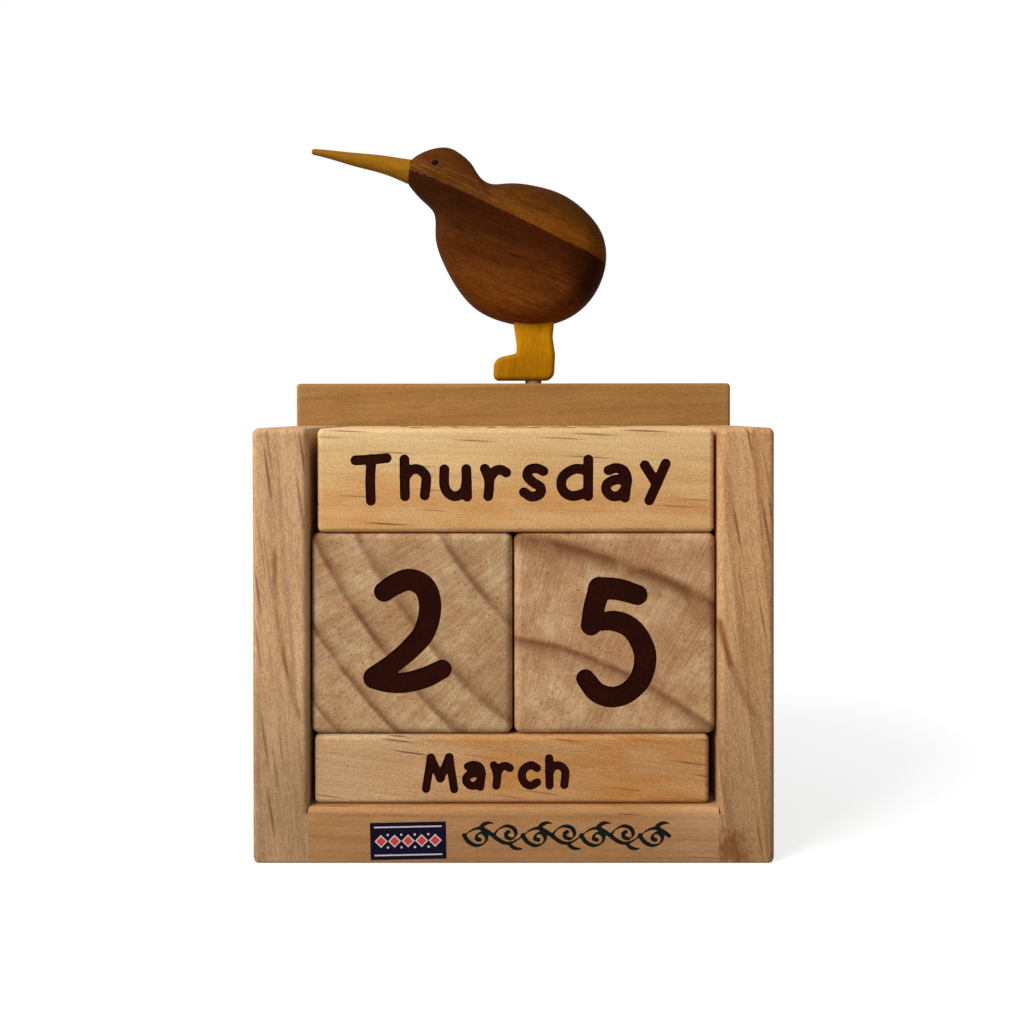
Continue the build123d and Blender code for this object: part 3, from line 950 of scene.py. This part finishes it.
FIBRE_DEPTH, STREAK_DEPTH, BELLY_DEPTH, PAINTED_SIDE_SHADING_DEPTH, PORE_DEPTH = 0.26, 0.5, 0.22, 0.32, 0.16
KIWI_CLOUD_SIZE = 5.0
KIWI_FLECKS, KIWI_FLECK_DEPTH = (1.6, 7.0, 0.2, 0.5), 0.8
KIWI_ROUGHNESS, KIWI_SHINE, KIWI_RELIEF = (0.6, 0.75), 0.02, 0.02


def kiwi_heartwood():
    """Oiled red-brown wood. It is darkest under a slanting line and golden just above it, and
    grows darker again towards the tail and the back. Its underside is paler, partly as painted
    light, and painted shade darkens its front while painted light lightens its rear a little."""
    material, tree = new_material("kiwi_heartwood")
    tone = {name: paint(*steps) for name, steps in KIWI_TONES.items()}

    def band(name, where):
        return tree.spread(where, *KIWI_BANDS[name])

    grain = leaning(90 - KIWI_LINE_SLOPE)
    place = wood_place(tree, grain, KIWI_LINE_PLACE)
    upward = grain.rotation_difference(Z_AXIS) @ leaning(-KIWI_LINE_SLOPE)
    along = tree.parts(place)[2]
    across = tree.parts(wood_place(tree))[0]
    fibre = tree.group(wood_fibre, place, KIWI_FIBRE)
    streak = tree.group(wood_fibre, place, KIWI_STREAKS)
    rise = tree.vector("DOT_PRODUCT", place, upward, output=1)
    rise = swung(tree, rise, streak, KIWI_LINE_WAVER)

    golden = tree.mix(band("back", rise), tone["gold"], tone["back"])
    golden = tree.mix(band("head", along), golden, tone["head"])
    golden = tree.mix(tree.times(streak, STREAK_DEPTH), golden, tone["streak"])
    lines = tree.noise(place, pace=(2.6, 0.4, 0.04), detail=1.0)
    neck = tree.times(band("neck", along), band("neck height", rise))
    neck = tree.times(band("neck line", lines), neck)
    golden = tree.mix(neck, golden, tone["neck"])

    belly_place = wood_place(tree, leaning(KIWI_BELLY_GRAIN))
    cloud = tree.group(mottle, tree.stretched(belly_place, SHORT_ALONG_GRAIN), KIWI_CLOUD_SIZE)
    dark = tree.mix(cloud, tone["belly"], tone["cloud"])
    # Paler underside: partly the wood's own tone, partly painted light against the shade of the
    # rounded lower edge.
    dark = tree.mix(band("underside", rise), dark, tone["underside"])
    belly_grain = tree.group(wood_fibre, belly_place, KIWI_BELLY_FIBRE)
    dark = tree.group(shaded, dark, belly_grain, BELLY_DEPTH)
    dark = tree.mix(band("under line", rise), dark, tone["under line"])
    tail = tree.times(band("tail", across), band("tail height", rise))
    dark = tree.mix(tail, dark, tone["tail"])
    # Painted shade darkens the front of the body and painted light lightens its rear a little.
    dark = tree.group(shaded, dark, band("painted side shading", across), PAINTED_SIDE_SHADING_DEPTH)

    colour = tree.mix(band("line", rise), dark, golden)
    colour = tree.group(shaded, colour, fibre, FIBRE_DEPTH)
    colour = tree.group(shaded, colour, tree.group(wood_pores, place), PORE_DEPTH)
    fleck = tree.group(resin_flecks, belly_place, *KIWI_FLECKS)
    colour = tree.mix(tree.times(fleck, KIWI_FLECK_DEPTH), colour, tone["fleck"])
    tree.surface(colour, fibre, KIWI_ROUGHNESS, KIWI_SHINE, fibre, KIWI_RELIEF)
    return material


# The tone, the tone of the specks and the shine of each film, ink and polish.
FILMS = {
    "navy_film": ((8, 6, 24), (17, 14, 40), 0.05),
    "pale_print": ((206, 190, 190), (160, 140, 150), 0.15),
    "red_print": ((196, 62, 52), (170, 50, 50), 0.15),
    "green_black_ink": ((10, 14, 10), (24, 28, 19), 0.05),
    "eye_black": ((16, 7, 4), (30, 16, 9), 0.02),
}
SPECK_SIZE, SPECK_DEPTH = 0.35, 0.5
FILM_ROUGHNESS, FILM_RELIEF = (0.4, 0.55), 0.004


def film(name):
    """Satin film, ink or polish of one colour, with fine specks."""
    material, tree = new_material(name)
    tone, speck_tone, shine = FILMS[name]
    specks = tree.group(mottle, wood_place(tree), SPECK_SIZE)
    colour = tree.mix(tree.times(specks, SPECK_DEPTH), paint(*tone), paint(*speck_tone))
    tree.surface(colour, specks, FILM_ROUGHNESS, shine, specks, FILM_RELIEF)
    return material


# The woods of the pieces, as pine takes them.
BOARDS = {
    "left_side": {
        "grain": leaning(-4), "heart": (-150, -70, 0), "rings": (9.0, 5.0, 0.4, 2.5),
        "ring_depth": 0.6, "fibre_depth": 0.2, "pore_depth": 0.15,
        "tones": [(195, 155, 112), (144, 97, 57), (178, 132, 91), (210, 174, 131)],
        "fleck_grain": leaning(-8), "flecks": (1.1, 20.0, 0.31, 1.0), "fleck_depth": 0.75,
        # Painted shade darkens this board towards the floor, with a little painted light at the
        # top.
        "painted_shade_low": (2.0, 54.0, 0.24), "streak": (-47.4, 64.0, -42.0, 27.0, -7.0, 0.9),
        "stain": ((-51.5, -27.0, 28.0), (3.5, 10.0, 18.0), 0.4),
    },
    "right_side": {
        "grain": leaning(-6), "heart": (150, -60, 0), "rings": (7.0, 5.0, 0.4, 2.5),
        "ring_depth": 0.6, "fibre_depth": 0.2, "pore_depth": 0.19,
        "tones": [(205, 159, 110), (146, 89, 45), (185, 132, 83), (214, 170, 122)],
        "fleck_grain": leaning(-10), "flecks": (1.1, 20.0, 0.32, 1.0), "fleck_depth": 0.85,
        # Painted shade darkens this board towards the floor, with a little painted light at the
        # top.
        "painted_shade_low": (5.0, 82.0, 0.25), "stain": ((43.0, -27.0, 3.0), (6.0, 8.0, 5.0), 0.9),
        "streak": (41.1, 49.6, 48.6, 28.4, -5.0, 1.2),
    },
    "base_board": {
        "grain": leaning(91), "heart": (0, 20, -60), "rings": (3.4, 2.0, 0.3, 8.0),
        # Painted shade darkens the base towards the floor, with a little painted light at its top.
        "ring_depth": 0.7, "pore_depth": 0.08, "painted_shade_low": (0.0, 14.0, 0.13),
        "tones": [(176, 127, 80), (128, 81, 42), (158, 109, 66), (184, 138, 95)],
        "fleck_grain": leaning(93), "flecks": (1.2, 20.0, 0.27, 1.0),
        "sweep": (X_AXIS, 26.0, 42.0, (194, 149, 105)),
    },
    "back_board": {
        "grain": (1, 0.05, 0.01), "heart": (0, -30, 42), "rings": (4.5, 2.5, 0.4, 3.0),
        "ring_depth": 0.5, "fibre_depth": 0.12, "pore_depth": 0.12,
        "tones": [(162, 117, 63), (132, 88, 40), (150, 105, 55), (172, 127, 76)],
        "flecks": (1.2, 22.0, 0.2, 0.4), "fleck_depth": 0.5,
    },
}
CUBES = {
    "left_number_cube": {
        "grain": (0.02, 1, 0.01), "heart": (63.8, -26, 111.7),
        "ring_lines": [
            (75.0, 5.0, 0.5), (90.8, 4.5, 0.9), (105.6, 4.5, 0.75), (113.6, 4.0, 1.0),
            (122.3, 3.5, 0.9), (131.0, 3.0, 0.7),
        ],
        "tones": [(187, 147, 104), (126, 80, 49), (164, 118, 77), (208, 178, 136)],
    },
    "right_number_cube": {
        "grain": (-0.02, 1, 0.01), "heart": (-15.8, -26, -42.3),
        "ring_lines": [(68.0, 4.0, 0.7), (88.6, 4.5, 0.9), (108.8, 8.0, 1.0), (127.0, 5.0, 0.6)],
        "tones": [(194, 149, 104), (124, 76, 43), (168, 117, 75), (215, 180, 138)],
    },
}
CUBE_FINISH = {
    "blotch_size": 10.0, "blotch_depth": 0.65, "pale_size": 4.0, "pale_depth": 0.65,
    "fibre_depth": 0.1, "pore_depth": 0.17, "ray_depth": 0.14, "flecks": (1.15, 6.0, 0.3, 1.0),
    "fleck_depth": 0.7,
}
# The tree's heart for the first bar of a row, and how far on it is for each bar behind.
BAR_HEART, BAR_HEART_STEP = Vector((0, -26, 160.8)), Vector((0, 9, -9))
DAY_BAR = {
    "grain": leaning(91.5), "rings": (5.0, 1.5, 0.4, 3.0), "ring_depth": 0.3,
    "tones": [(222, 185, 130), (184, 126, 72), (208, 164, 108), (228, 196, 144)],
    "blotch_depth": 0.25, "fibre_depth": 0.08, "pore_depth": 0.16, "fleck_grain": leaning(93),
    "flecks": (1.1, 24.0, 0.31, 1.0), "fleck_depth": 0.9,
    "sweep": (-Z_AXIS, -83, -70, (204, 146, 86)),
}
MONTH_BAR = {
    "grain": leaning(98), "rings": (6.0, 2.0, 0.4, 2.5), "ring_depth": 0.35,
    "tones": [(198, 160, 117), (166, 112, 62), (190, 147, 104), (206, 173, 132)],
    "blotch_depth": 0.35, "pore_depth": 0.18, "fleck_grain": leaning(98),
    "flecks": (1.1, 20.0, 0.31, 1.0), "fleck_depth": 0.85,
    "sweep": (X_AXIS, -26, 2, (190, 127, 62)),
}
SMALL_PIECES = {
    "dowel_wood": {
        "grain": leaning(0), "heart": (30, 0, 0), "rings": (2.0, 2.0, 0.3, 4.0),
        "tones": [(168, 128, 88), (132, 92, 58), (150, 112, 74), (184, 146, 108)],
    },
    "kiwi_beak_wood": {
        "grain": leaning(-78), "heart": (0, -60, 60), "rings": (3.0, 2.0, 0.3, 4.0),
        "tones": [(144, 96, 16), (110, 68, 5), (130, 83, 10), (154, 106, 24)],
        "flecks": (1.2, 14.0, 0.12, 0.3), "pore_depth": 0.08, "shine": 0.04,
    },
    "kiwi_leg_wood": {
        "grain": leaning(6), "heart": (40, -40, 100), "rings": (3.0, 2.0, 0.3, 4.0),
        "tones": [(186, 125, 5), (150, 94, 1), (170, 110, 2), (196, 136, 12)],
        "flecks": (1.2, 14.0, 0.12, 0.3), "pore_depth": 0.08, "shine": 0.04,
        # Painted shade: the legs darker towards the bottom, a little lighter at the top.
        "painted_shade_low": (97.0, 112.0, 0.24),
    },
}


# ---- Print on the front of the base ----
TRANSFER_TILT = 1.2
TRANSFER_MARGIN = 0.2
PRINT_LIFT = 0.04
LINE_INSET, LINE_END, LINE_HALF_WIDTH = 0.9, 0.8, 0.14
LOZENGE_SPACING, LOZENGE_REACH, LOZENGE_HEART = 2.7, 1.3, 0.95
DOT_HEIGHT, DOT_REACH, DOT_CORNERS = 1.25, 0.24, 12
FLOURISH_FROM, FLOURISH_TO = -10.3, 31.4
FLOURISH_HEIGHT = 5.8
FLOURISH_WAVES = 3.5
FLOURISH_RISE = 1.5
FLOURISH_MARGIN = 1.0
WAVE_POINTS = 100
NIB_ANGLE = 40.0
NIB_THIN, NIB_THICK = 0.1, 0.42
CURL_END_HALF_WIDTH = 0.34
LEAF_TIP, LEAF_SWELL, LEAF_LEAN = 0.08, 0.3, 0.7
# A curl and a leaf as they stand on a crest of the wave, from the crest's own middle.
CURL = [
    (-2.9, 0.1), (-2.0, -1.2), (-0.4, -1.95), (1.1, -1.5), (1.6, -0.3), (0.9, 0.55), (-0.2, 0.3),
    (-0.4, -0.6), (0.2, -0.8),
]
LEAF = [(0.2, 1.5), (0.9, 2.2), (1.9, 2.6), (3.0, 2.5)]


def plate(skin, outline, middle, depths, finish):
    """A thin flat plate with a straight-sided outline, facing the front."""
    at = face_places(middle, X_AXIS, Z_AXIS)
    front, back = depths
    count = len(outline)
    skin.face([at(point, front) for point in outline], [-Y_AXIS] * count, finish)
    skin.face([at(point, back) for point in outline], [Y_AXIS] * count, finish)
    walls(skin, [np.array(outline)], at, X_AXIS, Z_AXIS, front, back, -1, finish)


def around(across, up, reach, corners):
    """The corners of a regular figure about a point."""
    angles = [2 * math.pi * i / corners for i in range(corners)]
    return [(across + reach * math.cos(a), up + reach * math.sin(a)) for a in angles]


def transfer():
    """The printed film: a chain of red lozenges between pale lines on a navy ground."""
    low, high = (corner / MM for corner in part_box("front_transfer"))
    half_width = (high.x - low.x) / 2 - TRANSFER_MARGIN
    half_height = (high.z - low.z) / 2 - TRANSFER_MARGIN
    middle = Vector(((low.x + high.x) / 2, high.y, (low.z + high.z) / 2))
    thickness = high.y - low.y - PRINT_LIFT
    skin = Skin()

    def figure(outline, depths, finish):
        turn = math.radians(TRANSFER_TILT)
        turned = [
            (x * math.cos(turn) - z * math.sin(turn), x * math.sin(turn) + z * math.cos(turn))
            for x, z in outline
        ]
        plate(skin, turned, middle, depths, finish)

    def bar(left, bottom, right, top):
        return [(left, bottom), (right, bottom), (right, top), (left, top)]

    ground = (-thickness, 0.0)
    pale_print = (-thickness - PRINT_LIFT / 2, -thickness)
    red_print = (-thickness - PRINT_LIFT, -thickness - PRINT_LIFT / 2)
    figure(bar(-half_width, -half_height, half_width, half_height), ground, 0)
    for side in (-1, 1):
        line = side * (half_height - LINE_INSET)
        end = half_width - LINE_END
        low_edge, high_edge = line - LINE_HALF_WIDTH, line + LINE_HALF_WIDTH
        figure(bar(-end, low_edge, end, high_edge), pale_print, 1)
    for place in range(-2, 3):
        across = place * LOZENGE_SPACING
        figure(around(across, 0, LOZENGE_REACH, 4), pale_print, 1)
        figure(around(across, 0, LOZENGE_HEART, 4), red_print, 2)
    for place in range(-2, 2):
        for up in (-DOT_HEIGHT, DOT_HEIGHT):
            dot = around((place + 0.5) * LOZENGE_SPACING, up, DOT_REACH, DOT_CORNERS)
            figure(dot, pale_print, 1)
    materials = [film("navy_film"), film("pale_print"), film("red_print")]
    film_piece = skin.piece("printed_transfer", materials)
    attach(film_piece, "case")
    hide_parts("front_transfer")


def nibbed(line):
    """A line drawn with a broad nib: thick down its slope and thin along it."""
    line = np.array(line)
    run = np.gradient(line, axis=0)
    angle = np.arctan2(run[:, 1], run[:, 0]) - math.radians(NIB_ANGLE)
    half_width = NIB_THIN + (NIB_THICK - NIB_THIN) * np.abs(np.sin(angle))
    return np.c_[line, half_width]


def flourish_strokes():
    """A running scroll: one wave with a curl in each hollow and a leaf on each crest."""
    length = FLOURISH_TO - FLOURISH_FROM - 2 * NIB_THICK
    start = -length / 2
    half_wave = length / (2 * FLOURISH_WAVES)
    across = np.linspace(start, -start, WAVE_POINTS)
    swing = np.sin(math.pi * (across - start) / half_wave)
    strokes = [nibbed(np.c_[across, FLOURISH_RISE * swing])]
    for number in range(int(2 * FLOURISH_WAVES)):
        side = 1 if number % 2 == 0 else -1
        crest = start + (number + 0.5) * half_wave
        curl, leaf = (flowing(line) * (1, side) + (crest, 0) for line in (CURL, LEAF))
        shares = np.linspace(0, 1, len(leaf))
        leaf_widths = LEAF_TIP + LEAF_SWELL * np.sin(math.pi * shares**LEAF_LEAN)
        strokes.append(nibbed(curl))
        strokes.append(np.c_[curl[-2:], [CURL_END_HALF_WIDTH] * 2])
        strokes.append(np.c_[leaf, leaf_widths])
    return strokes


def flourish():
    """The scroll in dark ink beside the transfer."""
    base_low, base_high = (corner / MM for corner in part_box("base_board"))
    across = (FLOURISH_FROM + FLOURISH_TO) / 2
    middle = Vector((across, base_low.y, (base_low.z + base_high.z) / 2))
    half_size = ((FLOURISH_TO - FLOURISH_FROM) / 2 + FLOURISH_MARGIN, FLOURISH_HEIGHT)
    outlines, places, _, inked = drawn_on(half_size, flourish_strokes())
    at = face_places(middle, X_AXIS, Z_AXIS)
    skin = Skin()
    for triangle in inked:
        skin.face([at(places[i], -PRINT_LIFT) for i in triangle], [-Y_AXIS] * 3)
        skin.face([at(places[i]) for i in triangle], [Y_AXIS] * 3)
    walls(skin, outlines, at, X_AXIS, Z_AXIS, -PRINT_LIFT, 0.0, -1, 0)
    ink = skin.piece("ink_flourish", [film("green_black_ink")])
    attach(ink, "case")


# ---- Putting the looks on ----
def dress(node, material):
    """Gives a plain solid its finish."""
    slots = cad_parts[node].data.materials
    slots.clear()
    slots.append(material)


burnt = burnt_wood()
for node, digits in DIGITS_ON_CUBES.items():
    drawings = [[flowing(stroke) for stroke in DIGITS[digit]] for digit in digits]
    materials = [pine(node + "_pine", **CUBES[node], **CUBE_FINISH), burnt]
    cube = loose_block(node, CUBE_EDGE_ROUND, CUBE_FACES, drawings, materials)

for words_on_bars, lettering, finish in (
    (DAYS_ON_BARS, DAY_LETTERS, DAY_BAR), (MONTHS_ON_BARS, MONTH_LETTERS, MONTH_BAR)
):
    for row, (node, words) in enumerate(words_on_bars.items()):
        drawings = [written(word, **lettering) for word in words] + [[], []]
        heart = BAR_HEART + row * BAR_HEART_STEP
        materials = [pine(node + "_pine", heart=heart, **finish), burnt]
        bar = loose_block(node, BAR_EDGE_ROUND, BAR_FACES + BAR_ENDS, drawings, materials)

transfer()
flourish()
for node, finish in BOARDS.items():
    dress(node, pine(node + "_pine", **finish))
small_pieces = {name: pine(name, **finish) for name, finish in SMALL_PIECES.items()}
for node in ("base_dowels", "back_dowels", "kiwi_beak_pin", "kiwi_peg"):
    dress(node, small_pieces["dowel_wood"])
dress("kiwi_body", kiwi_heartwood())
dress("kiwi_beak", small_pieces["kiwi_beak_wood"])
dress("kiwi_legs", small_pieces["kiwi_leg_wood"])
dress("kiwi_eyes", film("eye_black"))


# ---- Studio ----
CAMERA_PLACE, CAMERA_TURN = (0.4, -239.9, 89.8), (89.65, 0.07, 0.16)
CAMERA_LENS, CAMERA_FILM, CAMERA_SHIFT, CAMERA_NEAR = 37.53, 36.0, -0.09, 0.01
WHITE = (1, 1, 1, 1)
WORLD_FILL = 0.34
FLOOR_SIZE, FLOOR_DROP = 6.0, 0.02
FLOOR_GREY, FLOOR_ROUGHNESS, FLOOR_SHINE = (0.35, 0.35, 0.35, 1), 0.9, 0.1
# How far from the calendar the floor's own light comes up, and the light near and far.
FLOOR_GLOW = (0.06, 0.25, 0.76, 0.97)
LAMP_PLACE, LAMP_TARGET = (-0.5, -0.42, 0.52), (0, 0, 0.07)
LAMP_SIZE, LAMP_POWER = 0.4, 8.0


def make_camera():
    """A lens straight in front, a little below the top of the case."""
    lens = bpy.data.cameras.new("camera")
    lens.sensor_width = CAMERA_FILM
    lens.lens = CAMERA_LENS
    lens.shift_y = CAMERA_SHIFT
    lens.clip_start = CAMERA_NEAR
    holder = bpy.data.objects.new("camera", lens)
    holder.location = Vector(CAMERA_PLACE) * MM
    holder.rotation_euler = Euler([math.radians(turn) for turn in CAMERA_TURN])
    bpy.context.scene.collection.objects.link(holder)
    bpy.context.scene.camera = holder


def seen_directly(tree):
    """One for rays from the camera and those mirrored or refracted on their way, else nothing."""
    path = tree.tree.nodes.new("ShaderNodeLightPath")
    seen = tree.math("MAXIMUM", path.outputs["Is Camera Ray"], path.outputs["Is Glossy Ray"])
    return tree.math("MAXIMUM", seen, path.outputs["Is Transmission Ray"])


def make_world():
    """White where it is seen, and a soft even fill where it lights."""
    world = bpy.data.worlds.new("studio")
    bpy.context.scene.world = world
    world.use_nodes = True
    world.node_tree.nodes.clear()
    tree = Tree(world.node_tree)
    strength = tree.times_plus(seen_directly(tree), 1.0 - WORLD_FILL, WORLD_FILL)
    background = tree.add("ShaderNodeBackground", {"Color": WHITE, "Strength": strength})
    output = world.node_tree.nodes.new("ShaderNodeOutputWorld")
    tree.feed(output.inputs["Surface"], background)


def make_floor():
    """A pale floor that keeps the calendar's soft shadow, and is as white as the backdrop away
    from it."""
    material, tree = new_material("floor_white")
    away = tree.length(tree.add("ShaderNodeTexCoord", {}, "Object"))
    glow = tree.times(seen_directly(tree), tree.spread(away, *FLOOR_GLOW))
    tree.shader(
        Base_Color=FLOOR_GREY, Roughness=FLOOR_ROUGHNESS, Emission_Color=WHITE,
        Emission_Strength=glow, Specular_IOR_Level=FLOOR_SHINE,
    )
    mesh = bpy.data.meshes.new("floor")
    half = FLOOR_SIZE / 2
    corners = [(-half, -half, 0), (half, -half, 0), (half, half, 0), (-half, half, 0)]
    mesh.from_pydata(corners, [], [(0, 1, 2, 3)])
    mesh.materials.append(material)
    floor = bpy.data.objects.new("floor", mesh)
    floor.location.z = -FLOOR_DROP * MM
    bpy.context.scene.collection.objects.link(floor)


def make_lamp():
    """A square soft lamp that looks at a target."""
    lamp = bpy.data.lights.new("soft_key", "AREA")
    lamp.size = LAMP_SIZE
    lamp.energy = LAMP_POWER
    holder = bpy.data.objects.new("soft_key", lamp)
    holder.location = LAMP_PLACE
    toward = Vector(LAMP_TARGET) - Vector(LAMP_PLACE)
    holder.rotation_euler = toward.to_track_quat("-Z", "Y").to_euler()
    bpy.context.scene.collection.objects.link(holder)


make_camera()
make_world()
make_floor()
make_lamp()
bpy.context.scene.view_settings.view_transform = "Standard"
